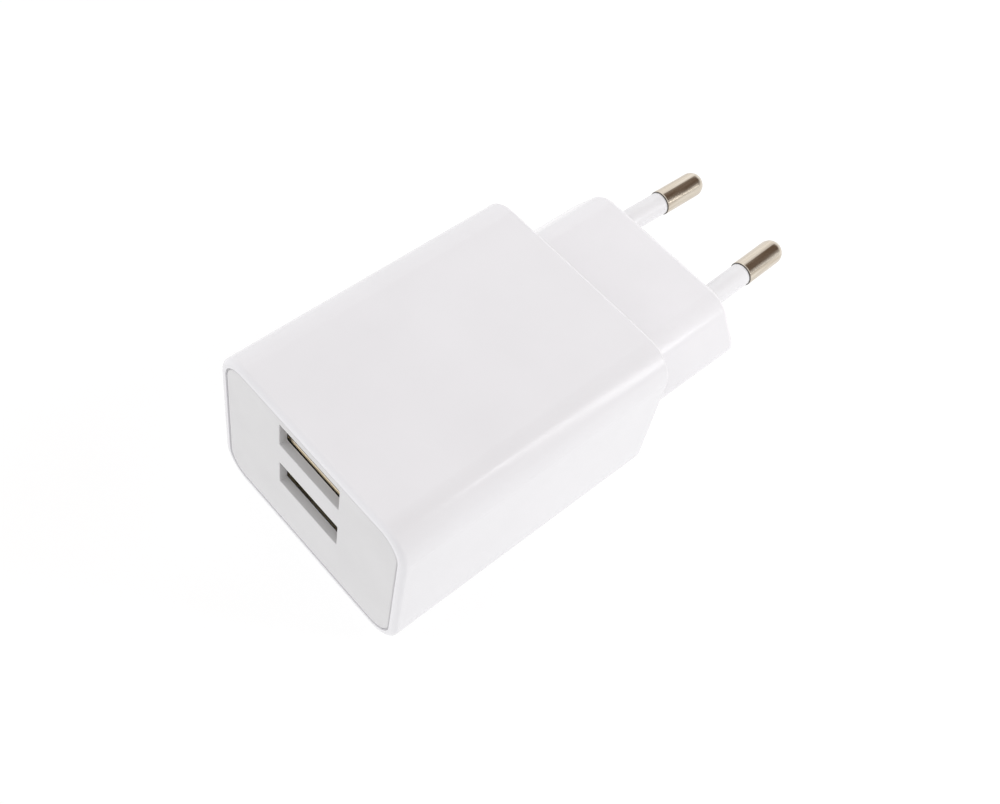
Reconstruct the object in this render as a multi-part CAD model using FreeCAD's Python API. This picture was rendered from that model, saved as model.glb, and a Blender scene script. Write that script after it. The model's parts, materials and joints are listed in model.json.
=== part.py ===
import FreeCAD, Part
import math
import os

# Wall charger with a two-pin mains plug and two USB sockets, lying on its broad face.
# X is the width, +Y points from the sockets to the plug pins, Z is up. Millimetres.
# The origin is under the middle of the whole charger, on the surface that it lies on.

Vector = FreeCAD.Vector

# General
REACH = 1.0          # how far a cutter runs past the face that it opens
BITE = 0.2           # how far two pieces of one moulding run into each other
FIT_GAP = 0.1        # play between parts that slide together
TOUCH_GAP = 0.02     # play between parts that are pressed together

# Housing: body, shoulder and neck
BODY_WIDTH = 38.4
BODY_HEIGHT = 28.0
BODY_LENGTH = 47.8
BODY_CORNER = 5.0
BODY_FRONT_ROUNDING = 0.8
BODY_REAR_ROUNDING = 0.5
WALL = 1.8
NECK_LENGTH = 19.6
NECK_WIDTH = 35.3    # between the ridges of the sides, before they are rounded
NECK_FLAT_WIDTH = 26.0
NECK_HEIGHT = 14.0
NECK_CENTRE_Z = 13.8
NECK_CORNER = 4.5
NECK_RIDGE_RADIUS = 1.4
NECK_END_ROUNDING = 1.0
SMALLEST_CORNER = 0.5
SHOULDER_RADIUS = 3.4
SHOULDER_RIDGE_RADIUS = 5.5
SHOULDER_MARGIN = 0.1
SHOULDER_SINK = 0.3
SHOULDER_STEPS = 8

# Mains plug
PIN_LENGTH = 19.0
PIN_RADIUS = 2.0
PIN_TIP_ROUNDING = 1.96
PIN_EDGE_ROUNDING = 0.15
PIN_CORE_RADIUS = 1.4
PIN_METAL_LENGTH = 9.0
PIN_SPACING_AT_FACE = 18.6
PIN_SPACING_AT_TIP = 17.5
PIN_Z = 15.5
PIN_TAIL = 6.0
SLEEVE_RADIUS = 1.84
SLEEVE_SINK = 1.0
FLANGE_RADIUS = 2.8
FLANGE_THICKNESS = 1.2
RETAINER_THICKNESS = 2.5
RETAINER_HOLE_GAP = 0.05
STRIP_THICKNESS = 0.4
STRIP_WIDTH = 2.4
STRIP_BEND = 0.3
STRIP_LAP = 1.0
STRIP_BOARD_EDGE = 1.6

# Front panel
RIM = 1.2
PANEL_GROOVE_WIDTH = 0.22
PANEL_GROOVE_DEPTH = 0.3
PANEL_RECESS = 0.05
PANEL_DEPTH = 1.35
PANEL_EDGE_ROUNDING = 0.25
PANEL_SKIRT_DEPTH = 3.0
PANEL_SKIRT_WALL = 1.0
PANEL_SLOT_GAP = 0.5
BOARD_SLOT_GAP = 0.3
PORT_WIDTH = 12.5
PORT_HEIGHT = 4.9
PORT_CORNER = 0.25
PORT_EDGE_ROUNDING = 0.12
PORT_UPPER_Z = 22.8
PORT_LOWER_Z = 13.5

# Stacked USB sockets
SHELL_INNER_WIDTH = 12.5
SHELL_INNER_HEIGHT = 5.12
SHELL_INNER_CORNER = 0.4
SHELL_OUTER_CORNER = 0.7
SHELL_SHEET = 0.3
SHELL_PANEL_GAP = 0.15
SHELL_UPPER_Z = PORT_UPPER_Z + 0.42
SHELL_LOWER_Z = PORT_LOWER_Z
SHELL_UPPER_LENGTH = 13.0
SHELL_LOWER_LENGTH = 10.2
SHELL_LEG_WIDTH = 1.6
TONGUE_WIDTH = 11.1
TONGUE_THICKNESS = 1.84
TONGUE_ABOVE_CENTRE = 0.06
TONGUE_SETBACK = 1.85
TONGUE_ROUNDING = 0.3
BLOCK_LENGTH = 4.4
BLOCK_GAP = 0.05
PLUG_CORNER = 0.45
SPACER_WIDTH = 11.0
SPACER_SETBACK = 0.6
CONTACT_X = (-3.5, -1.0, 1.0, 3.5)
CONTACT_WIDTH = 1.0
CONTACT_THICKNESS = 0.25
CONTACT_SETBACK = 0.6

# Circuit board
BOARD_TOP_Z = 9.2
BOARD_THICKNESS = 1.6
BOARD_HALF_WIDTH = 16.9
BOARD_FRONT_GAP = 0.7
BOARD_REAR_GAP = 0.5
RAIL_WIDTH = 0.9
RAIL_HEIGHT = 1.1
RAIL_GAP = 0.05
RAIL_FRONT_GAP = 0.5
LEAD_RADIUS = 0.3
LEAD_BELOW_BOARD = 1.0
LEAD_SINK = 0.5
HOLE_RADIUS = 0.45
SLOT_PLAY = 0.12
SOLDER_BASE_RADIUS = 0.95
SOLDER_TIP_RADIUS = 0.45
SOLDER_HEIGHT = 0.75
SOLDER_PAD_MARGIN = 0.4
SOLDER_PAD_HEIGHT = 0.6
COMPONENT_LIFT = 0.2

# Places that follow from the dimensions above
TOTAL_LENGTH = BODY_LENGTH + NECK_LENGTH + PIN_LENGTH
FRONT_Y = -TOTAL_LENGTH / 2
BODY_BACK_Y = FRONT_Y + BODY_LENGTH
PLUG_FACE_Y = BODY_BACK_Y + NECK_LENGTH
PLUG_WALL_Y = PLUG_FACE_Y - WALL
PANEL_BACK_Y = FRONT_Y + PANEL_DEPTH
NECK_SLOPE = math.atan2(NECK_HEIGHT, NECK_WIDTH - NECK_FLAT_WIDTH)
PIN_TILT = math.degrees(math.atan((PIN_SPACING_AT_FACE - PIN_SPACING_AT_TIP) / 2 / PIN_LENGTH))
BOARD_BOTTOM_Z = BOARD_TOP_Z - BOARD_THICKNESS
BOARD_FRONT_Y = PANEL_BACK_Y + BOARD_FRONT_GAP
BOARD_BACK_Y = BODY_BACK_Y - WALL - BOARD_REAR_GAP
LEAD_END_Z = BOARD_BOTTOM_Z - LEAD_BELOW_BOARD
STRIP_BEND_Y = BOARD_BACK_Y - STRIP_BOARD_EDGE
STRIP_Z = PIN_Z - PIN_CORE_RADIUS - STRIP_THICKNESS / 2
STRIP_END_Y = PLUG_WALL_Y - FLANGE_THICKNESS - RETAINER_THICKNESS - STRIP_LAP
SHELL_HALF_WIDTH = SHELL_INNER_WIDTH / 2 + SHELL_SHEET
SHELL_HALF_HEIGHT = SHELL_INNER_HEIGHT / 2 + SHELL_SHEET
SHELL_FRONT_Y = PANEL_BACK_Y + SHELL_PANEL_GAP
BLOCK_FRONT_Y = SHELL_FRONT_Y + SHELL_LOWER_LENGTH
BLOCK_BACK_Y = BLOCK_FRONT_Y + BLOCK_LENGTH
UPPER_FOOT_Y = BLOCK_FRONT_Y + 3.4
LOWER_FOOT_Y = BLOCK_FRONT_Y + 1.4
UPPER_LEG_Y = BLOCK_FRONT_Y + 0.9
LOWER_LEG_Y = SHELL_FRONT_Y + 5.5

# Transformer
TRANSFORMER_X = -6.4
TRANSFORMER_Y = FRONT_Y + 27.0
CORE_WIDTH = 16.0
CORE_DEPTH = 4.8
CORE_HEIGHT = 13.4
CORE_BACK = 2.0
CORE_LEG = 2.0
CORE_MIDDLE_LEG = 4.0
CORE_BOTTOM_Z = BOARD_TOP_Z + 1.6
BOBBIN_WALL = 0.6
BOBBIN_FLANGE = 0.9
BOBBIN_HALF_DEPTH = 6.4
BOBBIN_FOOT_HALF_WIDTH = 6.6
BOBBIN_FOOT_LIFT = 0.3
BOBBIN_PIN_X = (-5.0, -1.7, 1.7, 5.0)
BOBBIN_PIN_Y = 8.0
BOBBIN_PIN_TOP_Z = BOARD_TOP_Z + 1.5
WINDING_CORNER = 2.2

# Other parts on top of the board
CAPACITOR_RADIUS = 4.0
CAPACITOR_ROUNDING = 0.4
CAPACITOR_PITCH = 3.5
CRIMP_HEIGHT = 1.7
CRIMP_RADIUS = 0.6
OUTPUT_CAPACITOR_HEIGHT = 12.0
INPUT_CAPACITOR_HEIGHT = 13.5
OUTPUT_CAPACITORS = ((-11.3, FRONT_Y + 10.2), (11.3, FRONT_Y + 10.2))
INPUT_CAPACITORS = ((12.0, FRONT_Y + 28.2), (12.0, FRONT_Y + 37.0))
CHOKE_X = 3.4
CHOKE_Y = FRONT_Y + 39.6
CHOKE_RADIUS = 3.2
CHOKE_CORE_RADIUS = 1.6
CHOKE_HEIGHT = 9.0
CHOKE_FLANGE = 1.2
CHOKE_PITCH = 3.0
FUSE_X = -13.0
FUSE_FRONT_Y = FRONT_Y + 37.8
FUSE_LENGTH = 5.6
FUSE_RADIUS = 1.6
FUSE_ROUNDING = 0.4
FUSE_LIFT = 1.9
FUSE_LEAD_REACH = 1.0
DISC_X = 3.7
DISC_Y = FRONT_Y + 21.2
DISC_RADIUS = 3.2
DISC_THICKNESS = 2.6
DISC_ROUNDING = 0.9
DISC_LIFT = 1.0
DISC_PITCH = 5.0
OPTO_X = 11.7
OPTO_Y = FRONT_Y + 20.2
OPTO_WIDTH = 6.4
OPTO_DEPTH = 4.6
OPTO_HEIGHT = 3.5
OPTO_LIFT = 0.5
OPTO_LEAD_HEIGHT = 1.6
OPTO_PITCH_X = 7.6
OPTO_PITCH_Y = 2.54
SHEET_HALF_WIDTH = 15.5
SHEET_THICKNESS = 0.25
SHEET_GAP = 0.35
SHEET_TOP_Z = 24.0

# Parts under the board
CHIP_STANDOFF = 0.1
CHIP_LEAD_THICKNESS = 0.2
SMALL_PART_SIZE = (2.0, 1.2, 0.6)
SMALL_PARTS = ((-14.0, 22.0), (-14.0, 25.5), (-14.0, 29.0), (0.0, 33.0), (3.0, 33.0), (6.0, 33.0),
               (6.5, 25.5), (6.5, 29.0), (-3.0, 5.0), (3.0, 5.0), (-13.5, 6.2), (13.5, 6.2))


# Helpers

def box(x0, x1, y0, y1, z0, z1):
    return Part.makeBox(x1 - x0, y1 - y0, z1 - z0, Vector(x0, y0, z0))


def rod(start, end, radius):
    axis = end.sub(start)
    return Part.makeCylinder(radius, axis.Length, start, axis)


def fuse(shapes):
    solid = shapes[0].multiFuse(shapes[1:]) if len(shapes) > 1 else shapes[0]
    return solid.removeSplitter()


def extrude(wire, length):
    return Part.Face(wire).extrude(Vector(0, length, 0))


def edges_at_y(shape, y):
    return [edge for edge in shape.Edges if all(abs(v.Y - y) < 1e-4 for v in edge.Vertexes)]


def rounded_polygon(points, radii):
    """Closed wire through the corner points, each corner rounded by its own radius."""
    arcs = []
    for index, (corner, radius) in enumerate(zip(points, radii)):
        to_last = points[index - 1].sub(corner).normalize()
        to_next = points[(index + 1) % len(points)].sub(corner).normalize()
        half_angle = to_last.getAngle(to_next) / 2
        along_side = radius / math.tan(half_angle)
        to_middle = to_last.add(to_next).normalize() * (radius / math.sin(half_angle) - radius)
        arcs.append((corner.add(to_last * along_side), corner.add(to_middle),
                     corner.add(to_next * along_side)))
    edges = []
    for index, (start, middle, end) in enumerate(arcs):
        if radii[index] > 0:
            edges.append(Part.Arc(start, middle, end).toShape())
        next_start = arcs[(index + 1) % len(arcs)][0]
        if end.distanceToPoint(next_start) > 1e-6:
            edges.append(Part.LineSegment(end, next_start).toShape())
    return Part.Wire(edges)


def rounded_block(half_width, low, high, radius, start_y, end_y):
    """Block along Y, centred on X, with its four long edges rounded."""
    corners = [Vector(-half_width, start_y, low), Vector(half_width, start_y, low),
               Vector(half_width, start_y, high), Vector(-half_width, start_y, high)]
    return extrude(rounded_polygon(corners, [radius] * 4), end_y - start_y)


def body_block(inset, start_y, end_y):
    """Length of the charger's body, shrunk by inset on its four long sides."""
    return rounded_block(BODY_WIDTH / 2 - inset, inset, BODY_HEIGHT - inset, BODY_CORNER - inset,
                         start_y, end_y)


def neck_outline(y, inset, point=NECK_WIDTH / 2, ridge_radius=NECK_RIDGE_RADIUS):
    """Plug section across Y: flat top and bottom, and sides that slope to a rounded ridge."""
    half_height = NECK_HEIGHT / 2 - inset
    ridge = point - inset / math.sin(NECK_SLOPE)
    flat = ridge - half_height / math.tan(NECK_SLOPE)
    outline = ((-flat, -half_height), (flat, -half_height), (ridge, 0),
               (flat, half_height), (-flat, half_height), (-ridge, 0))
    corners = [Vector(x, y, NECK_CENTRE_Z + z) for x, z in outline]
    corner_radius = max(NECK_CORNER - inset, SMALLEST_CORNER)
    side_radius = max(ridge_radius - inset, SMALLEST_CORNER)
    return rounded_polygon(corners, [corner_radius, corner_radius, side_radius] * 2)


# Housing

def shoulder():
    """Concave blend from the body's back corners into the sloping sides of the neck."""
    narrow = NECK_WIDTH / 2
    rounded_off = SHOULDER_RIDGE_RADIUS * (1 / math.sin(NECK_SLOPE) - 1)
    wide = BODY_WIDTH / 2 - SHOULDER_MARGIN + rounded_off
    sections = []
    for step in range(SHOULDER_STEPS + 1):
        angle = math.pi / 2 * step / SHOULDER_STEPS
        flare = 1 - math.sin(angle)
        point = narrow + (wide - narrow) * flare
        ridge_radius = NECK_RIDGE_RADIUS + (SHOULDER_RIDGE_RADIUS - NECK_RIDGE_RADIUS) * flare
        away = SHOULDER_RADIUS * (1 - math.cos(angle)) - SHOULDER_SINK
        sections.append(neck_outline(BODY_BACK_Y + away, 0, point, ridge_radius))
    return Part.makeLoft(sections, True, False)


def board_rails():
    """Ribs along both side walls that hold the edges of the circuit board."""
    wall_x = BODY_WIDTH / 2 - WALL
    start = PANEL_BACK_Y + PANEL_SKIRT_DEPTH + RAIL_FRONT_GAP
    end = BODY_BACK_Y - WALL + BITE
    under = BOARD_BOTTOM_Z - RAIL_GAP
    over = BOARD_TOP_Z + RAIL_GAP
    rails = []
    for side in (-1, 1):
        near, far = sorted((side * (wall_x - RAIL_WIDTH), side * (wall_x + BITE)))
        rails.append(box(near, far, start, end, under - RAIL_HEIGHT, under))
        rails.append(box(near, far, start, end, over, over + RAIL_HEIGHT))
    return rails


def housing():
    body = body_block(0, FRONT_Y, BODY_BACK_Y)
    body = body.makeFillet(BODY_FRONT_ROUNDING, edges_at_y(body, FRONT_Y))
    body = body.makeFillet(BODY_REAR_ROUNDING, edges_at_y(body, BODY_BACK_Y))
    neck = extrude(neck_outline(BODY_BACK_Y - REACH, 0), NECK_LENGTH + REACH)
    neck = neck.makeFillet(NECK_END_ROUNDING, edges_at_y(neck, PLUG_FACE_Y))
    shell = fuse([body, shoulder(), neck])
    cavity = body_block(WALL, PANEL_BACK_Y, BODY_BACK_Y - WALL)
    neck_cavity = extrude(neck_outline(BODY_BACK_Y - WALL - REACH, WALL), NECK_LENGTH + REACH)
    rebate = body_block(RIM, FRONT_Y - REACH, PANEL_BACK_Y)
    shell = shell.cut([cavity, neck_cavity, rebate])
    for side in (-1, 1):
        sleeve_seat = pin_side(along_pin(-SLEEVE_SINK, REACH, SLEEVE_RADIUS), side)
        pin_hole = pin_side(along_pin(-WALL - REACH, REACH, PIN_CORE_RADIUS), side)
        shell = shell.cut([sleeve_seat, pin_hole, pin_flange(side)])
    return fuse([shell] + board_rails())


# Front panel

def port_window(centre_z):
    return rounded_block(PORT_WIDTH / 2, centre_z - PORT_HEIGHT / 2, centre_z + PORT_HEIGHT / 2, PORT_CORNER,
                         FRONT_Y - REACH, PANEL_BACK_Y + REACH)


def panel_skirt():
    """Collar behind the panel that fits inside the housing, open for the board and the sockets."""
    end = PANEL_BACK_Y + PANEL_SKIRT_DEPTH
    inner = WALL + FIT_GAP + PANEL_SKIRT_WALL
    collar = body_block(WALL + FIT_GAP, PANEL_BACK_Y - BITE, end)
    hollow = body_block(inner, PANEL_BACK_Y - REACH, end + REACH)
    board_slot = box(-BODY_WIDTH / 2, BODY_WIDTH / 2, PANEL_BACK_Y, end + REACH,
                     BOARD_BOTTOM_Z - BOARD_SLOT_GAP, BOARD_TOP_Z + BOARD_SLOT_GAP)
    slot_half = SHELL_HALF_WIDTH + PANEL_SLOT_GAP
    socket_slot = box(-slot_half, slot_half, PANEL_BACK_Y, end + REACH, BOARD_TOP_Z, BODY_HEIGHT)
    return collar.cut([hollow, board_slot, socket_slot])


def front_panel():
    """Plate that fills the rim, with a shallow groove around its face, and the collar behind it."""
    face_y = FRONT_Y + PANEL_RECESS
    face = body_block(RIM + PANEL_GROOVE_WIDTH, face_y, PANEL_BACK_Y)
    face = face.makeFillet(PANEL_EDGE_ROUNDING, edges_at_y(face, face_y))
    plate = body_block(RIM + TOUCH_GAP, face_y + PANEL_GROOVE_DEPTH, PANEL_BACK_Y)
    panel = fuse([face, plate, panel_skirt()])
    panel = panel.cut([port_window(PORT_UPPER_Z), port_window(PORT_LOWER_Z)])
    window_edges = [edge for edge in edges_at_y(panel, face_y)
                    if all(abs(v.X) < PORT_WIDTH / 2 + 1e-4 for v in edge.Vertexes)]
    return panel.makeFillet(PORT_EDGE_ROUNDING, window_edges)


# Mains plug

def along_pin(start, end, radius):
    return rod(Vector(0, start, 0), Vector(0, end, 0), radius)


def pin_side(shape, side):
    """Place a shape built along Y from the plug face, on one side, leaning toward the other pin."""
    base = Vector(side * PIN_SPACING_AT_FACE / 2, PLUG_FACE_Y, PIN_Z)
    placed = shape.copy()
    placed.translate(base)
    placed.rotate(base, Vector(0, 0, 1), side * PIN_TILT)
    return placed


def pin_flange(side):
    return pin_side(along_pin(-WALL - FLANGE_THICKNESS, -WALL, FLANGE_RADIUS), side)


def contact_pin(side):
    metal_start = PIN_LENGTH - PIN_METAL_LENGTH
    head = along_pin(metal_start, PIN_LENGTH, PIN_RADIUS)
    head = head.makeFillet(PIN_TIP_ROUNDING, edges_at_y(head, PIN_LENGTH))
    head = head.makeFillet(PIN_EDGE_ROUNDING, edges_at_y(head, metal_start))
    tail_end = -WALL - FLANGE_THICKNESS - RETAINER_THICKNESS - PIN_TAIL
    core = along_pin(tail_end, metal_start + REACH, PIN_CORE_RADIUS)
    return fuse([pin_side(fuse([head, core]), side), pin_flange(side)])


def pin_sleeve(side):
    end = PIN_LENGTH - PIN_METAL_LENGTH
    outer = along_pin(-SLEEVE_SINK, end, SLEEVE_RADIUS)
    return pin_side(outer.cut(along_pin(-WALL, end + REACH, PIN_CORE_RADIUS)), side)


def pin_retainer():
    """Moulded plate inside the neck that holds the flanges of both pins against the end wall."""
    back = PLUG_WALL_Y - FLANGE_THICKNESS
    plate = extrude(neck_outline(back - RETAINER_THICKNESS, WALL + FIT_GAP), RETAINER_THICKNESS)
    hole_start = -WALL - FLANGE_THICKNESS - RETAINER_THICKNESS - REACH
    for side in (-1, 1):
        tail_hole = pin_side(along_pin(hole_start, -WALL, PIN_CORE_RADIUS + RETAINER_HOLE_GAP), side)
        plate = plate.cut([tail_hole, pin_flange(side)])
    return plate


def bent_strip(x, width, thickness, end_y, run_z, bend_y, foot_z):
    """Flat strip that runs along Y at run_z, then turns straight down at bend_y to foot_z."""
    half = thickness / 2
    toward_end = half if end_y > bend_y else -half
    outline = ((bend_y - toward_end, foot_z), (bend_y + toward_end, foot_z),
               (bend_y + toward_end, run_z - half), (end_y, run_z - half),
               (end_y, run_z + half), (bend_y - toward_end, run_z + half))
    corners = [Vector(x - width / 2, y, z) for y, z in outline]
    radii = [0, 0, STRIP_BEND, 0, 0, STRIP_BEND + thickness]
    return Part.Face(rounded_polygon(corners, radii)).extrude(Vector(width, 0, 0))


def mains_strip(side):
    return bent_strip(side * PIN_SPACING_AT_FACE / 2, STRIP_WIDTH, STRIP_THICKNESS,
                      STRIP_END_Y, STRIP_Z, STRIP_BEND_Y, LEAD_END_Z)


# USB sockets

def usb_shell(centre_z, length, leg_y):
    """Folded steel tube around one socket, with a leg on each side that is soldered to the board."""
    back_y = SHELL_FRONT_Y + length
    outer = rounded_block(SHELL_HALF_WIDTH, centre_z - SHELL_HALF_HEIGHT, centre_z + SHELL_HALF_HEIGHT,
                          SHELL_OUTER_CORNER, SHELL_FRONT_Y, back_y)
    inner = rounded_block(SHELL_INNER_WIDTH / 2, centre_z - SHELL_INNER_HEIGHT / 2,
                          centre_z + SHELL_INNER_HEIGHT / 2, SHELL_INNER_CORNER,
                          SHELL_FRONT_Y - REACH, back_y + REACH)
    legs = []
    for side in (-1, 1):
        near, far = sorted((side * SHELL_INNER_WIDTH / 2, side * SHELL_HALF_WIDTH))
        legs.append(box(near, far, leg_y, leg_y + SHELL_LEG_WIDTH, LEAD_END_Z, centre_z))
    return fuse([outer] + legs).cut(inner)


def usb_contacts(centre_z, foot_y):
    """Four contacts under one tongue, each bent down through the block to the board."""
    front_y = SHELL_FRONT_Y + TONGUE_SETBACK + CONTACT_SETBACK
    run_z = centre_z + TONGUE_ABOVE_CENTRE - CONTACT_THICKNESS / 2
    return [bent_strip(x, CONTACT_WIDTH, CONTACT_THICKNESS, front_y, run_z, foot_y, LEAD_END_Z)
            for x in CONTACT_X]


def usb_tongue(centre_z):
    front_y = SHELL_FRONT_Y + TONGUE_SETBACK
    low = centre_z + TONGUE_ABOVE_CENTRE
    tongue = box(-TONGUE_WIDTH / 2, TONGUE_WIDTH / 2, front_y, BLOCK_FRONT_Y + REACH,
                 low, low + TONGUE_THICKNESS)
    return tongue.makeFillet(TONGUE_ROUNDING, edges_at_y(tongue, front_y))


def usb_spacer(low, high):
    """Bar between a steel shell and what is below it."""
    return box(-SPACER_WIDTH / 2, SPACER_WIDTH / 2, SHELL_FRONT_Y + SPACER_SETBACK, BLOCK_FRONT_Y + REACH,
               low, high)


def usb_insulator():
    """Moulded block that carries both tongues and fills the gap between the two steel shells."""
    half_width = SHELL_INNER_WIDTH / 2 - TOUCH_GAP
    plug_half_height = SHELL_INNER_HEIGHT / 2 - TOUCH_GAP
    under_upper = SHELL_UPPER_Z - SHELL_HALF_HEIGHT - TOUCH_GAP
    over_lower = SHELL_LOWER_Z + SHELL_HALF_HEIGHT + TOUCH_GAP
    under_lower = SHELL_LOWER_Z - SHELL_HALF_HEIGHT - TOUCH_GAP
    shell_back = SHELL_FRONT_Y + SHELL_UPPER_LENGTH
    pieces = [box(-half_width, half_width, BLOCK_FRONT_Y + BLOCK_GAP, BLOCK_BACK_Y, BOARD_TOP_Z, under_upper),
              box(-half_width, half_width, shell_back + BLOCK_GAP, BLOCK_BACK_Y,
                  under_upper - BITE, SHELL_UPPER_Z),
              usb_spacer(over_lower, under_upper),
              usb_spacer(BOARD_TOP_Z, under_lower)]
    for centre_z in (SHELL_UPPER_Z, SHELL_LOWER_Z):
        pieces.append(rounded_block(half_width, centre_z - plug_half_height, centre_z + plug_half_height,
                                    PLUG_CORNER, BLOCK_FRONT_Y - BITE, BLOCK_BACK_Y))
        pieces.append(usb_tongue(centre_z))
    contacts = usb_contacts(SHELL_UPPER_Z, UPPER_FOOT_Y) + usb_contacts(SHELL_LOWER_Z, LOWER_FOOT_Y)
    return fuse(pieces).cut(contacts)


# Leads, board and solder. Every through-hole part lists the places of its leads.

def upright_lead(x, y, top_z):
    return rod(Vector(x, y, LEAD_END_Z), Vector(x, y, top_z), LEAD_RADIUS)


def paired_leads(x, y, pitch):
    return [(x - pitch / 2, y), (x + pitch / 2, y)]


def transformer_leads():
    return [(TRANSFORMER_X + x, TRANSFORMER_Y + side * BOBBIN_PIN_Y)
            for side in (-1, 1) for x in BOBBIN_PIN_X]


def fuse_leads():
    return [(FUSE_X, FUSE_FRONT_Y - FUSE_LEAD_REACH),
            (FUSE_X, FUSE_FRONT_Y + FUSE_LENGTH + FUSE_LEAD_REACH)]


def optocoupler_leads():
    return [(OPTO_X + side * OPTO_PITCH_X / 2, OPTO_Y + row * OPTO_PITCH_Y / 2)
            for side in (-1, 1) for row in (-1, 1)]


def round_leads():
    places = transformer_leads() + fuse_leads() + optocoupler_leads()
    for x, y in OUTPUT_CAPACITORS + INPUT_CAPACITORS:
        places += paired_leads(x, y, CAPACITOR_PITCH)
    places += paired_leads(CHOKE_X, CHOKE_Y, CHOKE_PITCH)
    places += paired_leads(DISC_X, DISC_Y, DISC_PITCH)
    return places


def flat_leads():
    """Places and sizes, as (x, y, size along X, size along Y), of every flat leg in the board."""
    legs = [(side * PIN_SPACING_AT_FACE / 2, STRIP_BEND_Y, STRIP_WIDTH, STRIP_THICKNESS) for side in (-1, 1)]
    for x in CONTACT_X:
        for foot_y in (UPPER_FOOT_Y, LOWER_FOOT_Y):
            legs.append((x, foot_y, CONTACT_WIDTH, CONTACT_THICKNESS))
    leg_x = SHELL_INNER_WIDTH / 2 + SHELL_SHEET / 2
    for side in (-1, 1):
        for leg_y in (UPPER_LEG_Y, LOWER_LEG_Y):
            legs.append((side * leg_x, leg_y + SHELL_LEG_WIDTH / 2, SHELL_SHEET, SHELL_LEG_WIDTH))
    return legs


def flat_block(x, y, size_x, size_y, margin, z0, z1):
    """Block around a flat leg, with a margin on its four sides."""
    half_x, half_y = size_x / 2 + margin, size_y / 2 + margin
    return box(x - half_x, x + half_x, y - half_y, y + half_y, z0, z1)


def circuit_board():
    board = box(-BOARD_HALF_WIDTH, BOARD_HALF_WIDTH, BOARD_FRONT_Y, BOARD_BACK_Y, BOARD_BOTTOM_Z, BOARD_TOP_Z)
    low, high = BOARD_BOTTOM_Z - REACH, BOARD_TOP_Z + REACH
    holes = [rod(Vector(x, y, low), Vector(x, y, high), HOLE_RADIUS) for x, y in round_leads()]
    slots = [flat_block(*leg, SLOT_PLAY, low, high) for leg in flat_leads()]
    return board.cut(holes + slots)


def solder_joints():
    """Solder round every lead under the board: cones on round leads and pads on flat ones."""
    joints = []
    for x, y in round_leads():
        base = Vector(x, y, BOARD_BOTTOM_Z)
        cone = Part.makeCone(SOLDER_BASE_RADIUS, SOLDER_TIP_RADIUS, SOLDER_HEIGHT, base, Vector(0, 0, -1))
        joints.append(cone.cut(upright_lead(x, y, BOARD_TOP_Z)))
    for leg in flat_leads():
        pad = flat_block(*leg, SOLDER_PAD_MARGIN, BOARD_BOTTOM_Z - SOLDER_PAD_HEIGHT, BOARD_BOTTOM_Z)
        joints.append(pad.cut(flat_block(*leg, 0, LEAD_END_Z, BOARD_TOP_Z)))
    return joints


# Transformer

def core_half(upper):
    """E-shaped ferrite half: a back bar with two outer legs and a wider middle leg."""
    bottom = CORE_BOTTOM_Z + (CORE_HEIGHT / 2 if upper else 0)
    top = bottom + CORE_HEIGHT / 2
    bar_low, bar_high = (top - CORE_BACK, top) if upper else (bottom, bottom + CORE_BACK)
    front, back = TRANSFORMER_Y - CORE_DEPTH / 2, TRANSFORMER_Y + CORE_DEPTH / 2
    left, right = TRANSFORMER_X - CORE_WIDTH / 2, TRANSFORMER_X + CORE_WIDTH / 2
    middle = CORE_MIDDLE_LEG / 2
    return fuse([box(left, right, front, back, bar_low, bar_high),
                 box(left, left + CORE_LEG, front, back, bottom, top),
                 box(right - CORE_LEG, right, front, back, bottom, top),
                 box(TRANSFORMER_X - middle, TRANSFORMER_X + middle, front, back, bottom, top)])


def centred_block(half_x, half_y, z0, z1, radius=0.0):
    """Block centred on the transformer, with its upright edges rounded."""
    x, y = TRANSFORMER_X, TRANSFORMER_Y
    block = box(x - half_x, x + half_x, y - half_y, y + half_y, z0, z1)
    if radius:
        upright = [edge for edge in block.Edges if abs(edge.tangentAt(edge.FirstParameter).z) > 0.9]
        block = block.makeFillet(radius, upright)
    return block


def bobbin_window():
    """Lowest and highest Z of the bobbin between the bars of the core."""
    return CORE_BOTTOM_Z + CORE_BACK + FIT_GAP, CORE_BOTTOM_Z + CORE_HEIGHT - CORE_BACK - FIT_GAP


def transformer_bobbin():
    low, high = bobbin_window()
    middle_x, middle_y = CORE_MIDDLE_LEG / 2, CORE_DEPTH / 2
    flange_half = CORE_WIDTH / 2 - CORE_LEG - BITE
    pieces = [centred_block(middle_x + BOBBIN_WALL, middle_y + BOBBIN_WALL, low, high),
              centred_block(flange_half, BOBBIN_HALF_DEPTH, low, low + BOBBIN_FLANGE),
              centred_block(flange_half, BOBBIN_HALF_DEPTH, high - BOBBIN_FLANGE, high)]
    for side in (-1, 1):
        near, far = sorted((side * (middle_y + BITE), side * (BOBBIN_PIN_Y + REACH)))
        pieces.append(box(TRANSFORMER_X - BOBBIN_FOOT_HALF_WIDTH, TRANSFORMER_X + BOBBIN_FOOT_HALF_WIDTH,
                          TRANSFORMER_Y + near, TRANSFORMER_Y + far,
                          BOARD_TOP_Z + BOBBIN_FOOT_LIFT, low + BOBBIN_FLANGE / 2))
    opening = centred_block(middle_x + TOUCH_GAP, middle_y + TOUCH_GAP, CORE_BOTTOM_Z, high + REACH)
    return fuse(pieces).cut([opening] + transformer_pins())


def transformer_pins():
    return [upright_lead(x, y, BOBBIN_PIN_TOP_Z) for x, y in transformer_leads()]


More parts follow.
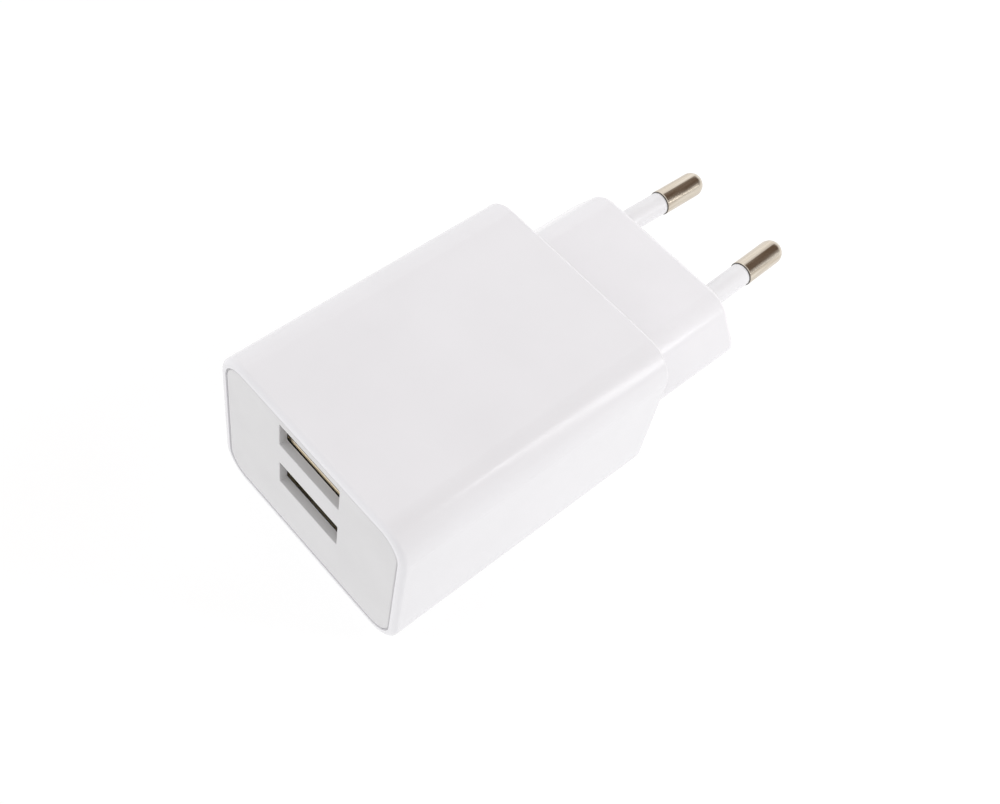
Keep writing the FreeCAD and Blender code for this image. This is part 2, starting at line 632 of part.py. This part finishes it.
def transformer_winding():
    low, high = bobbin_window()
    low, high = low + BOBBIN_FLANGE + TOUCH_GAP, high - BOBBIN_FLANGE - TOUCH_GAP
    tube = BOBBIN_WALL + TOUCH_GAP
    outer = centred_block(CORE_WIDTH / 2 - CORE_LEG - BOBBIN_WALL, BOBBIN_HALF_DEPTH - BOBBIN_WALL,
                          low, high, WINDING_CORNER)
    inner = centred_block(CORE_MIDDLE_LEG / 2 + tube, CORE_DEPTH / 2 + tube, low - REACH, high + REACH)
    return outer.cut(inner)


# Other parts on top of the board

def closed_edges(shape):
    return [edge for edge in shape.Edges if edge.Closed]


def capacitor(x, y, height):
    """Electrolytic can with a crimped groove near the board and two leads."""
    base = BOARD_TOP_Z + COMPONENT_LIFT
    can = Part.makeCylinder(CAPACITOR_RADIUS, height, Vector(x, y, base))
    can = can.makeFillet(CAPACITOR_ROUNDING, closed_edges(can))
    groove_centre = Vector(x, y, base + CRIMP_HEIGHT)
    groove = Part.makeTorus(CAPACITOR_RADIUS + CRIMP_RADIUS / 2, CRIMP_RADIUS, groove_centre)
    leads = [upright_lead(*place, base + LEAD_SINK) for place in paired_leads(x, y, CAPACITOR_PITCH)]
    return fuse([can.cut(groove)] + leads)


def choke_core():
    base = BOARD_TOP_Z + COMPONENT_LIFT
    drum = [Part.makeCylinder(CHOKE_RADIUS, CHOKE_FLANGE, Vector(CHOKE_X, CHOKE_Y, base)),
            Part.makeCylinder(CHOKE_CORE_RADIUS, CHOKE_HEIGHT, Vector(CHOKE_X, CHOKE_Y, base)),
            Part.makeCylinder(CHOKE_RADIUS, CHOKE_FLANGE,
                              Vector(CHOKE_X, CHOKE_Y, base + CHOKE_HEIGHT - CHOKE_FLANGE))]
    leads = [upright_lead(*place, base + LEAD_SINK) for place in paired_leads(CHOKE_X, CHOKE_Y, CHOKE_PITCH)]
    return fuse(drum + leads)


def choke_winding():
    low = Vector(CHOKE_X, CHOKE_Y, BOARD_TOP_Z + COMPONENT_LIFT + CHOKE_FLANGE + TOUCH_GAP)
    height = CHOKE_HEIGHT - 2 * (CHOKE_FLANGE + TOUCH_GAP)
    outer = Part.makeCylinder(CHOKE_RADIUS - SHEET_GAP, height, low)
    return outer.cut(Part.makeCylinder(CHOKE_CORE_RADIUS + TOUCH_GAP, height, low))


def fuse_resistor():
    """Axial part that lies along Y a little above the board, on two bent leads."""
    z = BOARD_TOP_Z + FUSE_LIFT
    start, end = FUSE_FRONT_Y, FUSE_FRONT_Y + FUSE_LENGTH
    barrel = rod(Vector(FUSE_X, start, z), Vector(FUSE_X, end, z), FUSE_RADIUS)
    pieces = [barrel.makeFillet(FUSE_ROUNDING, closed_edges(barrel))]
    for x, y in fuse_leads():
        inside = start + LEAD_SINK if y < start else end - LEAD_SINK
        pieces.append(rod(Vector(x, y, z), Vector(x, inside, z), LEAD_RADIUS))
        pieces.append(Part.makeSphere(LEAD_RADIUS, Vector(x, y, z)))
        pieces.append(upright_lead(x, y, z))
    return fuse(pieces)


def disc_capacitor():
    """Flat ceramic disc that stands on edge, across X."""
    centre = Vector(DISC_X, DISC_Y - DISC_THICKNESS / 2, BOARD_TOP_Z + DISC_LIFT + DISC_RADIUS)
    disc = Part.makeCylinder(DISC_RADIUS, DISC_THICKNESS, centre, Vector(0, 1, 0))
    disc = disc.makeFillet(DISC_ROUNDING, closed_edges(disc))
    leads = [upright_lead(*place, centre.z) for place in paired_leads(DISC_X, DISC_Y, DISC_PITCH)]
    return fuse([disc] + leads)


def optocoupler():
    low = BOARD_TOP_Z + OPTO_LIFT
    pieces = [box(OPTO_X - OPTO_WIDTH / 2, OPTO_X + OPTO_WIDTH / 2,
                  OPTO_Y - OPTO_DEPTH / 2, OPTO_Y + OPTO_DEPTH / 2, low, low + OPTO_HEIGHT)]
    bend_z = low + OPTO_LEAD_HEIGHT
    for x, y in optocoupler_leads():
        pieces.append(upright_lead(x, y, bend_z))
        pieces.append(Part.makeSphere(LEAD_RADIUS, Vector(x, y, bend_z)))
        pieces.append(rod(Vector(x, y, bend_z), Vector(OPTO_X, y, bend_z), LEAD_RADIUS))
    return fuse(pieces)


def insulation_sheet():
    """Film that stands between the mains side of the board and the low-voltage side."""
    y = BLOCK_BACK_Y + SHEET_GAP
    return box(-SHEET_HALF_WIDTH, SHEET_HALF_WIDTH, y, y + SHEET_THICKNESS, BOARD_TOP_Z, SHEET_TOP_Z)


# Parts under the board

def chip(x, y, size_x, size_y, height, lead_count, span):
    """Surface-mounted package with flat leads along both of its sides across Y."""
    top = BOARD_BOTTOM_Z - CHIP_STANDOFF
    pieces = [box(x - size_x / 2, x + size_x / 2, y - size_y / 2, y + size_y / 2, top - height, top)]
    pitch = size_x / (lead_count + 0.5)
    half_lead = pitch / 5
    for index in range(lead_count):
        lead_x = x + (index - (lead_count - 1) / 2) * pitch
        pieces.append(box(lead_x - half_lead, lead_x + half_lead, y - span / 2, y + span / 2,
                          BOARD_BOTTOM_Z - CHIP_LEAD_THICKNESS, BOARD_BOTTOM_Z))
    return fuse(pieces)


def small_parts():
    """Chip resistors and capacitors."""
    size_x, size_y, height = SMALL_PART_SIZE
    return [box(x - size_x / 2, x + size_x / 2, FRONT_Y + depth - size_y / 2, FRONT_Y + depth + size_y / 2,
                BOARD_BOTTOM_Z - height, BOARD_BOTTOM_Z) for x, depth in SMALL_PARTS]


# Writing the parts

def save(name, shape):
    if isinstance(shape, list):
        shape = Part.makeCompound(shape)
    solids = shape.Solids
    if len(solids) == 1:
        shape = solids[0]
    if not shape.isValid():
        print("not valid:", name)
    shape.exportStep("parts/" + name + ".step")
    size = shape.BoundBox
    print("%-24s %2d solid(s) %9.2f mm3  x %.1f..%.1f  y %.1f..%.1f  z %.1f..%.1f" % (
        name, len(solids), shape.Volume, size.XMin, size.XMax, size.YMin, size.YMax, size.ZMin, size.ZMax))


def main():
    os.makedirs("parts", exist_ok=True)
    save("housing", housing())
    save("front_panel", front_panel())
    for name, side in (("left", -1), ("right", 1)):
        save("contact_pin_" + name, contact_pin(side))
        save("pin_sleeve_" + name, pin_sleeve(side))
        save("mains_strip_" + name, mains_strip(side))
    save("pin_retainer", pin_retainer())
    save("usb_shell_upper", usb_shell(SHELL_UPPER_Z, SHELL_UPPER_LENGTH, UPPER_LEG_Y))
    save("usb_shell_lower", usb_shell(SHELL_LOWER_Z, SHELL_LOWER_LENGTH, LOWER_LEG_Y))
    save("usb_insulator", usb_insulator())
    save("usb_contacts_upper", usb_contacts(SHELL_UPPER_Z, UPPER_FOOT_Y))
    save("usb_contacts_lower", usb_contacts(SHELL_LOWER_Z, LOWER_FOOT_Y))
    save("circuit_board", circuit_board())
    save("solder_joints", solder_joints())
    save("transformer_core_lower", core_half(False))
    save("transformer_core_upper", core_half(True))
    save("transformer_bobbin", transformer_bobbin())
    save("transformer_pins", transformer_pins())
    save("transformer_winding", transformer_winding())
    for number, (x, y) in enumerate(OUTPUT_CAPACITORS, 1):
        save("output_capacitor_%d" % number, capacitor(x, y, OUTPUT_CAPACITOR_HEIGHT))
    for number, (x, y) in enumerate(INPUT_CAPACITORS, 1):
        save("input_capacitor_%d" % number, capacitor(x, y, INPUT_CAPACITOR_HEIGHT))
    save("choke_core", choke_core())
    save("choke_winding", choke_winding())
    save("fuse_resistor", fuse_resistor())
    save("disc_capacitor", disc_capacitor())
    save("optocoupler", optocoupler())
    save("bridge_rectifier", chip(-6.0, FRONT_Y + 40.0, 4.8, 3.9, 2.2, 2, 6.4))
    save("power_controller", chip(12.0, FRONT_Y + 32.6, 4.9, 3.9, 1.5, 4, 6.0))
    save("output_rectifier", chip(TRANSFORMER_X, TRANSFORMER_Y, 6.6, 5.6, 2.1, 1, 8.0))
    save("port_controller", chip(0.0, FRONT_Y + 8.4, 2.9, 1.6, 1.1, 3, 2.8))
    save("small_parts", small_parts())
    save("insulation_sheet", insulation_sheet())


main()
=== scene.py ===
import json
import math

import bpy
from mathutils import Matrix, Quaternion, Vector


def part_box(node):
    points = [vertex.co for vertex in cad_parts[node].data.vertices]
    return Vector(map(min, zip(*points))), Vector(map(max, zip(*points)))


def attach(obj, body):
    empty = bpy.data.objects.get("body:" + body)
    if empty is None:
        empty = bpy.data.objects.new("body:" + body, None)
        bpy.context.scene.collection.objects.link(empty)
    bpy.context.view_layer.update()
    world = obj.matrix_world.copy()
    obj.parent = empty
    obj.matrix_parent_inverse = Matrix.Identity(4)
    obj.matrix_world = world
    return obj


# Looks of a white two-pin wall charger with two USB sockets, lying on a pale floor. Metres.
# An azimuth is in degrees from +Y toward +X, and an elevation in degrees above the floor.

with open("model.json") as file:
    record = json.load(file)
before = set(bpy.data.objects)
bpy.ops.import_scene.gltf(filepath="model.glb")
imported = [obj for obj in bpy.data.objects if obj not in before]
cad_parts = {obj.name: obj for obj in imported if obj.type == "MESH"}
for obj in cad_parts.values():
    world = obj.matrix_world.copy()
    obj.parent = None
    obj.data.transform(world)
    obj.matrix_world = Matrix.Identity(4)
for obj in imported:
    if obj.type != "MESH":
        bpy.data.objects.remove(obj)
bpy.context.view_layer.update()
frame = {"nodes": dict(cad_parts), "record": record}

MM = 0.001

# The camera looks down on the charger from the front right, turned a little about its line of sight.
CAMERA_AIM = Vector((3.6, -11.6, 14.0)) * MM
CAMERA_DISTANCE = 194.6 * MM
CAMERA_AZIMUTH = 142.58
CAMERA_ELEVATION = 55.15
CAMERA_ROLL = 13.06
CAMERA_LENS = 48.9
CAMERA_SENSOR = 36.0
CAMERA_NEAREST = 1 * MM
CAMERA_FARTHEST = 10.0

# White floor that shines a little, so that it stays pale under the charger.
FLOOR_SIZE = 4.0
FLOOR_DROP = 0.02 * MM
FLOOR_GREY = 0.3
FLOOR_ROUGHNESS = 0.9
FLOOR_GLOW = 0.74

# Studio walls: brightness is the strength of the world. The ceiling adds its extra overhead, and nothing
# where the cosine of the angle from overhead is below its start. The opening is dim out to its core and
# has faded out at its edge, both in degrees from its middle.
WALL_COLOUR = (1.0, 0.995, 1.0)
WALL_AZIMUTH = -60
WALL_DIM = 0.70
WALL_BRIGHT = 1.20
CEILING_EXTRA = 0.28
CEILING_START = 0.3
OPENING_COLOUR = (0.14, 0.10, 0.075)
OPENING_AZIMUTH = 20
OPENING_ELEVATION = 50
OPENING_CORE = 22
OPENING_EDGE = 47

# Two soft lamps at the back right, with power in watts.
FILL_PLACE = Vector((120, 180, 130)) * MM
FILL_AIM = Vector((0, -10, 14)) * MM
FILL_SIZE = (150 * MM, 150 * MM)
FILL_POWER = 0.20
STRIP_PLACE = Vector((420, 300, 340)) * MM
STRIP_AIM = Vector((0, 0, 10)) * MM
STRIP_SIZE = (60 * MM, 400 * MM)
STRIP_POWER = 0.34

# Surface patterns: noise is read between two levels, and gloss varies on a finer scale than colour.
NOISE_LOW = 0.3
NOISE_HIGH = 0.7
TONE_DETAIL = 3.0
FINE_DETAIL = 4.0
GLOSS_SCALE = 0.6

# Painted shade: a dark ring at the end of each pin sleeve. Its centre ring is this far from the middle of
# the bare metal.
SHADE_RING_BEFORE_MOUNT = 3.66 * MM
SHADE_RING_RADIUS = 1.90 * MM
SHADE_RING_TUBE = 0.09 * MM
SHADE_RING_STEPS = 96
SHADE_TUBE_STEPS = 12

# Rolled edge of the upper socket's shell, set back from the shell's front and down from its top.
LIP_HALF_WIDTH = 5.95 * MM
LIP_RADIUS = 0.14 * MM
LIP_SETBACK = 0.19 * MM
LIP_DROP = 5.24 * MM
LIP_STEPS = 40
LIP_SIDES = 16
LIP_END_POWER = 16
LIP_END_SHARE = 0.02


# Material tools

def add_node(tree, kind, **inputs):
    """A shader node with the given inputs set; names use _ for a space."""
    node = tree.nodes.new(kind)
    for name, value in inputs.items():
        node.inputs[name.replace("_", " ")].default_value = value
    return node


def new_material(name):
    """A new node material and its shader."""
    material = bpy.data.materials.new(name)
    material.use_nodes = True
    return material, material.node_tree.nodes["Principled BSDF"]


def noise(tree, size, detail, stretch):
    """Noise from 0 to 1 with features about size metres across; under 1, stretch draws them out."""
    place = tree.nodes.new("ShaderNodeTexCoord")
    mapping = add_node(tree, "ShaderNodeMapping", Scale=stretch)
    tree.links.new(place.outputs["Object"], mapping.inputs["Vector"])
    node = add_node(tree, "ShaderNodeTexNoise", Scale=1.0 / size, Detail=detail)
    tree.links.new(mapping.outputs["Vector"], node.inputs["Vector"])
    return node.outputs["Fac"]


def spread(tree, value, low, high, start=NOISE_LOW, end=NOISE_HIGH):
    """The value, read from start to end, mapped on to low to high."""
    node = add_node(tree, "ShaderNodeMapRange", From_Min=start, From_Max=end, To_Min=low, To_Max=high)
    tree.links.new(value, node.inputs["Value"])
    return node.outputs["Result"]


def blend_colours(tree, value, first, second):
    """Colour that runs from first to second as the value goes from 0 to 1."""
    node = tree.nodes.new("ShaderNodeMix")
    node.data_type = "RGBA"
    node.inputs["A"].default_value = (*first, 1.0)
    node.inputs["B"].default_value = (*second, 1.0)
    tree.links.new(value, node.inputs["Factor"])
    return node.outputs["Result"]


def surface(name, dark, light, tone, rough, grain, depth, metallic=0.0, stretch=(1.0, 1.0, 1.0)):
    """Material that drifts between two colours over about tone metres and between two roughnesses
    over a little less, with bumps about grain metres across and depth metres high."""
    material, shader = new_material(name)
    tree = material.node_tree
    drift = spread(tree, noise(tree, tone, TONE_DETAIL, stretch), 0.0, 1.0)
    tree.links.new(blend_colours(tree, drift, dark, light), shader.inputs["Base Color"])
    gloss = spread(tree, noise(tree, tone * GLOSS_SCALE, FINE_DETAIL, stretch), *rough)
    tree.links.new(gloss, shader.inputs["Roughness"])
    bump = add_node(tree, "ShaderNodeBump", Distance=depth)
    tree.links.new(noise(tree, grain, FINE_DETAIL, stretch), bump.inputs["Height"])
    tree.links.new(bump.outputs["Normal"], shader.inputs["Normal"])
    shader.inputs["Metallic"].default_value = metallic
    return material


def finish_nodes(names, material):
    """Gives the material to the CAD nodes with these names."""
    for name in names:
        mesh = frame["nodes"][name].data
        mesh.materials.clear()
        mesh.materials.append(material)


# Casing

housing_plastic = surface(
    "housing_plastic", dark=(0.805, 0.800, 0.822), light=(0.830, 0.825, 0.848), tone=14 * MM,
    rough=(0.16, 0.22), grain=0.35 * MM, depth=0.0012 * MM)
finish_nodes(["housing"], housing_plastic)

# The front panel's grey is painted darker than the housing's, as painted shade for the dimmer light on the
# front face.
panel_plastic_painted_shade = surface(
    "panel_plastic_painted_shade", dark=(0.675, 0.670, 0.676), light=(0.705, 0.700, 0.706), tone=9 * MM,
    rough=(0.30, 0.38), grain=0.22 * MM, depth=0.0020 * MM)
finish_nodes(["front_panel"], panel_plastic_painted_shade)

# Mains plug

sleeve_plastic = surface(
    "sleeve_plastic", dark=(0.770, 0.768, 0.785), light=(0.800, 0.798, 0.815), tone=5 * MM,
    rough=(0.18, 0.24), grain=0.25 * MM, depth=0.0010 * MM)
finish_nodes(["pin_sleeve_left", "pin_sleeve_right"], sleeve_plastic)

nickel = surface(
    "pin_nickel", dark=(0.57, 0.50, 0.41), light=(0.69, 0.63, 0.54), tone=0.5 * MM,
    rough=(0.16, 0.26), grain=0.12 * MM, depth=0.0008 * MM, metallic=1.0, stretch=(1.0, 0.06, 1.0))
finish_nodes(["contact_pin_left", "contact_pin_right"], nickel)

retainer_plastic = surface(
    "retainer_plastic", dark=(0.72, 0.72, 0.71), light=(0.80, 0.80, 0.79), tone=4 * MM,
    rough=(0.45, 0.60), grain=0.20 * MM, depth=0.0030 * MM)
finish_nodes(["pin_retainer"], retainer_plastic)

strip_brass = surface(
    "strip_brass", dark=(0.72, 0.53, 0.25), light=(0.82, 0.64, 0.34), tone=1.5 * MM,
    rough=(0.24, 0.36), grain=0.15 * MM, depth=0.0010 * MM, metallic=1.0, stretch=(1.0, 0.10, 1.0))
finish_nodes(["mains_strip_left", "mains_strip_right"], strip_brass)

# USB sockets

shell_steel = surface(
    "socket_steel", dark=(0.62, 0.55, 0.43), light=(0.74, 0.68, 0.56), tone=0.6 * MM,
    rough=(0.22, 0.34), grain=0.15 * MM, depth=0.0010 * MM, metallic=1.0, stretch=(0.08, 1.0, 1.0))
finish_nodes(["usb_shell_upper", "usb_shell_lower"], shell_steel)

socket_black = surface(
    "socket_black", dark=(0.012, 0.012, 0.013), light=(0.022, 0.021, 0.021), tone=2 * MM,
    rough=(0.38, 0.52), grain=0.12 * MM, depth=0.0020 * MM)
finish_nodes(["usb_insulator"], socket_black)

contact_gold = surface(
    "contact_gold", dark=(0.83, 0.60, 0.26), light=(0.92, 0.72, 0.38), tone=0.5 * MM,
    rough=(0.18, 0.28), grain=0.12 * MM, depth=0.0008 * MM, metallic=1.0, stretch=(1.0, 0.10, 1.0))
finish_nodes(["usb_contacts_upper", "usb_contacts_lower"], contact_gold)

# Circuit board and what is soldered to it

laminate = surface(
    "board_laminate", dark=(0.022, 0.135, 0.050), light=(0.035, 0.190, 0.072), tone=3 * MM,
    rough=(0.28, 0.40), grain=0.40 * MM, depth=0.0060 * MM)
finish_nodes(["circuit_board"], laminate)

solder = surface(
    "solder", dark=(0.66, 0.66, 0.68), light=(0.78, 0.78, 0.79), tone=0.8 * MM,
    rough=(0.26, 0.42), grain=0.30 * MM, depth=0.0060 * MM, metallic=1.0)
finish_nodes(["solder_joints", "transformer_pins"], solder)

ferrite = surface(
    "ferrite", dark=(0.050, 0.050, 0.054), light=(0.085, 0.084, 0.088), tone=2 * MM,
    rough=(0.55, 0.70), grain=0.10 * MM, depth=0.0060 * MM)
finish_nodes(["transformer_core_lower", "transformer_core_upper", "choke_core"], ferrite)

phenolic = surface(
    "bobbin_phenolic", dark=(0.018, 0.017, 0.017), light=(0.030, 0.028, 0.027), tone=2 * MM,
    rough=(0.40, 0.55), grain=0.15 * MM, depth=0.0030 * MM)
finish_nodes(["transformer_bobbin"], phenolic)

winding_tape = surface(
    "winding_tape", dark=(0.72, 0.48, 0.030), light=(0.82, 0.58, 0.060), tone=3 * MM,
    rough=(0.20, 0.32), grain=0.60 * MM, depth=0.0200 * MM, stretch=(1.0, 1.0, 0.15))
finish_nodes(["transformer_winding"], winding_tape)

can_sleeve = surface(
    "capacitor_sleeve", dark=(0.015, 0.022, 0.050), light=(0.025, 0.034, 0.072), tone=4 * MM,
    rough=(0.25, 0.38), grain=0.40 * MM, depth=0.0030 * MM)
finish_nodes(["output_capacitor_1", "output_capacitor_2"], can_sleeve)
finish_nodes(["input_capacitor_1", "input_capacitor_2"], can_sleeve)

copper = surface(
    "copper_wire", dark=(0.62, 0.24, 0.09), light=(0.74, 0.33, 0.14), tone=1.0 * MM,
    rough=(0.20, 0.32), grain=0.25 * MM, depth=0.0200 * MM, metallic=1.0, stretch=(0.15, 0.15, 1.0))
finish_nodes(["choke_winding"], copper)

resistor_coat = surface(
    "resistor_coat", dark=(0.12, 0.33, 0.20), light=(0.17, 0.42, 0.26), tone=2 * MM,
    rough=(0.45, 0.60), grain=0.25 * MM, depth=0.0080 * MM)
finish_nodes(["fuse_resistor"], resistor_coat)

disc_coat = surface(
    "disc_coat", dark=(0.025, 0.110, 0.380), light=(0.045, 0.150, 0.470), tone=2 * MM,
    rough=(0.25, 0.38), grain=0.50 * MM, depth=0.0100 * MM)
finish_nodes(["disc_capacitor"], disc_coat)

chip_epoxy = surface(
    "chip_epoxy", dark=(0.014, 0.014, 0.015), light=(0.024, 0.024, 0.025), tone=1.5 * MM,
    rough=(0.50, 0.65), grain=0.08 * MM, depth=0.0030 * MM)
finish_nodes(["optocoupler", "bridge_rectifier", "output_rectifier"], chip_epoxy)
finish_nodes(["power_controller", "port_controller"], chip_epoxy)

chip_ceramic = surface(
    "chip_ceramic", dark=(0.36, 0.27, 0.18), light=(0.46, 0.36, 0.25), tone=0.8 * MM,
    rough=(0.35, 0.50), grain=0.10 * MM, depth=0.0030 * MM)
finish_nodes(["small_parts"], chip_ceramic)

insulating_film = surface(
    "insulating_film", dark=(0.66, 0.60, 0.36), light=(0.74, 0.68, 0.44), tone=6 * MM,
    rough=(0.18, 0.28), grain=1.50 * MM, depth=0.0100 * MM)
finish_nodes(["insulation_sheet"], insulating_film)


# Small details around the CAD parts

def skin_rings(name, rings, closed, material):
    """Piece with a smooth skin over a row of rings of points. The last ring joins up with the first
    if it is closed, and otherwise each end has a cap."""
    count = len(rings)
    size = len(rings[0])
    faces = []
    for row in range(count if closed else count - 1):
        near = row * size
        far = (row + 1) % count * size
        for step in range(size):
            after = (step + 1) % size
            faces.append((near + step, near + after, far + after, far + step))
    if not closed:
        faces.append(tuple(reversed(range(size))))
        faces.append(tuple(range((count - 1) * size, count * size)))
    mesh = bpy.data.meshes.new(name)
    mesh.from_pydata([point for ring in rings for point in ring], [], faces)
    mesh.shade_smooth()
    mesh.materials.append(material)
    piece = bpy.data.objects.new(name, mesh)
    bpy.context.scene.collection.objects.link(piece)
    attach(piece, "root")
    return piece


def circle_angles(count):
    """Evenly spaced angles once round a circle."""
    return [2 * math.pi * step / count for step in range(count)]


def make_pin_shade_ring(side, material):
    """Dark ring of painted shade in the corner between the metal of a pin and its sleeve."""
    mounts = {mount["name"]: mount for mount in frame["record"]["mounts"]}
    mount = mounts["mains_pin_" + side]
    axis = Vector(mount["axis"]).normalized()
    centre = Vector(mount["pos_m"]) - axis * SHADE_RING_BEFORE_MOUNT
    across = axis.orthogonal().normalized()
    upright = axis.cross(across)
    rings = []
    for turn in circle_angles(SHADE_RING_STEPS):
        outward = across * math.cos(turn) + upright * math.sin(turn)
        rings.append([centre + outward * (SHADE_RING_RADIUS + SHADE_RING_TUBE * math.cos(angle))
                      + axis * SHADE_RING_TUBE * math.sin(angle) for angle in circle_angles(SHADE_TUBE_STEPS)])
    skin_rings("pin_shade_ring_" + side, rings, True, material)


def make_socket_lip(material):
    """Rolled lower front edge of the upper socket's shell, with rounded ends."""
    low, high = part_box("usb_shell_upper")
    centre_y = low[1] + LIP_SETBACK
    centre_z = high[2] - LIP_DROP
    rings = []
    for step in range(LIP_STEPS + 1):
        place = -math.cos(math.pi * step / LIP_STEPS)
        fullness = math.sqrt(max(1 - place ** LIP_END_POWER, 0.0))
        radius = LIP_RADIUS * (LIP_END_SHARE + (1 - LIP_END_SHARE) * fullness)
        rings.append([Vector((LIP_HALF_WIDTH * place,
                              centre_y + radius * math.cos(angle),
                              centre_z + radius * math.sin(angle)))
                      for angle in circle_angles(LIP_SIDES)])
    skin_rings("usb_lip_upper", rings, False, material)


# Near-black finish of the painted shade rings, standing for the shade where each pin sleeve meets its
# metal.
pin_shade_paint = surface(
    "pin_shade_paint", dark=(0.060, 0.050, 0.042), light=(0.090, 0.078, 0.066), tone=0.8 * MM,
    rough=(0.40, 0.55), grain=0.10 * MM, depth=0.0010 * MM)
for side in ("left", "right"):
    make_pin_shade_ring(side, pin_shade_paint)

lip_brass = surface(
    "lip_brass", dark=(0.80, 0.70, 0.53), light=(0.88, 0.79, 0.63), tone=0.8 * MM,
    rough=(0.25, 0.38), grain=0.12 * MM, depth=0.0010 * MM, metallic=1.0, stretch=(0.08, 1.0, 1.0))
make_socket_lip(lip_brass)


# Floor, light and camera

def toward(azimuth, elevation):
    """Unit vector that points at this azimuth and elevation."""
    turn = math.radians(azimuth)
    rise = math.radians(elevation)
    level = math.cos(rise)
    return Vector((math.sin(turn) * level, math.cos(turn) * level, math.sin(rise)))


def make_floor():
    """Plain square floor, just below the charger."""
    half = FLOOR_SIZE / 2
    corners = [(x, y, -FLOOR_DROP) for x, y in ((-half, -half), (half, -half), (half, half), (-half, half))]
    mesh = bpy.data.meshes.new("floor")
    mesh.from_pydata(corners, [], [(0, 1, 2, 3)])
    floor = bpy.data.objects.new("floor", mesh)
    bpy.context.scene.collection.objects.link(floor)
    material, shader = new_material("floor_paper")
    shader.inputs["Base Color"].default_value = (FLOOR_GREY, FLOOR_GREY, FLOOR_GREY, 1.0)
    shader.inputs["Roughness"].default_value = FLOOR_ROUGHNESS
    shader.inputs["Specular IOR Level"].default_value = 0.0
    shader.inputs["Emission Color"].default_value = (1.0, 1.0, 1.0, 1.0)
    shader.inputs["Emission Strength"].default_value = FLOOR_GLOW
    mesh.materials.append(material)


def make_softbox(name, place, aim, size, power):
    """Rectangular white lamp at a place, facing the point aim."""
    light = bpy.data.lights.new(name, "AREA")
    light.shape = "RECTANGLE"
    light.size, light.size_y = size
    light.energy = power
    lamp = bpy.data.objects.new(name, light)
    bpy.context.scene.collection.objects.link(lamp)
    lamp.location = place
    lamp.rotation_mode = "QUATERNION"
    lamp.rotation_quaternion = (aim - place).to_track_quat("-Z", "Y")
    return lamp


def facing(tree, direction):
    """Cosine of the angle between the direction and the sky point that is looked up, as a socket."""
    place = tree.nodes.new("ShaderNodeTexCoord")
    product = tree.nodes.new("ShaderNodeVectorMath")
    product.operation = "DOT_PRODUCT"
    product.inputs[1].default_value = direction
    tree.links.new(place.outputs["Generated"], product.inputs[0])
    return product.outputs["Value"]


def make_world():
    """White studio walls, brightest toward the back left, with a dim brown opening high at the back."""
    world = bpy.data.worlds.new("studio")
    bpy.context.scene.world = world
    world.use_nodes = True
    tree = world.node_tree
    background = tree.nodes["Background"]
    wall = spread(tree, facing(tree, toward(WALL_AZIMUTH, 0)), WALL_DIM, WALL_BRIGHT, -1.0, 1.0)
    ceiling = spread(tree, facing(tree, toward(0, 90)), 0.0, CEILING_EXTRA, CEILING_START, 1.0)
    total = tree.nodes.new("ShaderNodeMath")
    total.operation = "ADD"
    tree.links.new(wall, total.inputs[0])
    tree.links.new(ceiling, total.inputs[1])
    tree.links.new(total.outputs["Value"], background.inputs["Strength"])
    opening = facing(tree, toward(OPENING_AZIMUTH, OPENING_ELEVATION))
    edge = math.cos(math.radians(OPENING_EDGE))
    core = math.cos(math.radians(OPENING_CORE))
    inside = spread(tree, opening, 0.0, 1.0, edge, core)
    colour = blend_colours(tree, inside, WALL_COLOUR, OPENING_COLOUR)
    tree.links.new(colour, background.inputs["Color"])


def make_camera():
    """The scene's camera, at its distance from the point that it aims at."""
    data = bpy.data.cameras.new("camera")
    data.lens = CAMERA_LENS
    data.sensor_width = CAMERA_SENSOR
    data.clip_start = CAMERA_NEAREST
    data.clip_end = CAMERA_FARTHEST
    camera = bpy.data.objects.new("camera", data)
    bpy.context.scene.collection.objects.link(camera)
    back = toward(CAMERA_AZIMUTH, CAMERA_ELEVATION)
    roll = Quaternion((0.0, 0.0, 1.0), math.radians(CAMERA_ROLL))
    camera.location = CAMERA_AIM + back * CAMERA_DISTANCE
    camera.rotation_mode = "QUATERNION"
    camera.rotation_quaternion = (-back).to_track_quat("-Z", "Y") @ roll
    bpy.context.scene.camera = camera


make_floor()
make_world()
fill = make_softbox("back_fill", FILL_PLACE, FILL_AIM, FILL_SIZE, FILL_POWER)
fill.visible_glossy = False
make_softbox("edge_strip", STRIP_PLACE, STRIP_AIM, STRIP_SIZE, STRIP_POWER)
make_camera()
bpy.context.scene.view_settings.view_transform = "Standard"
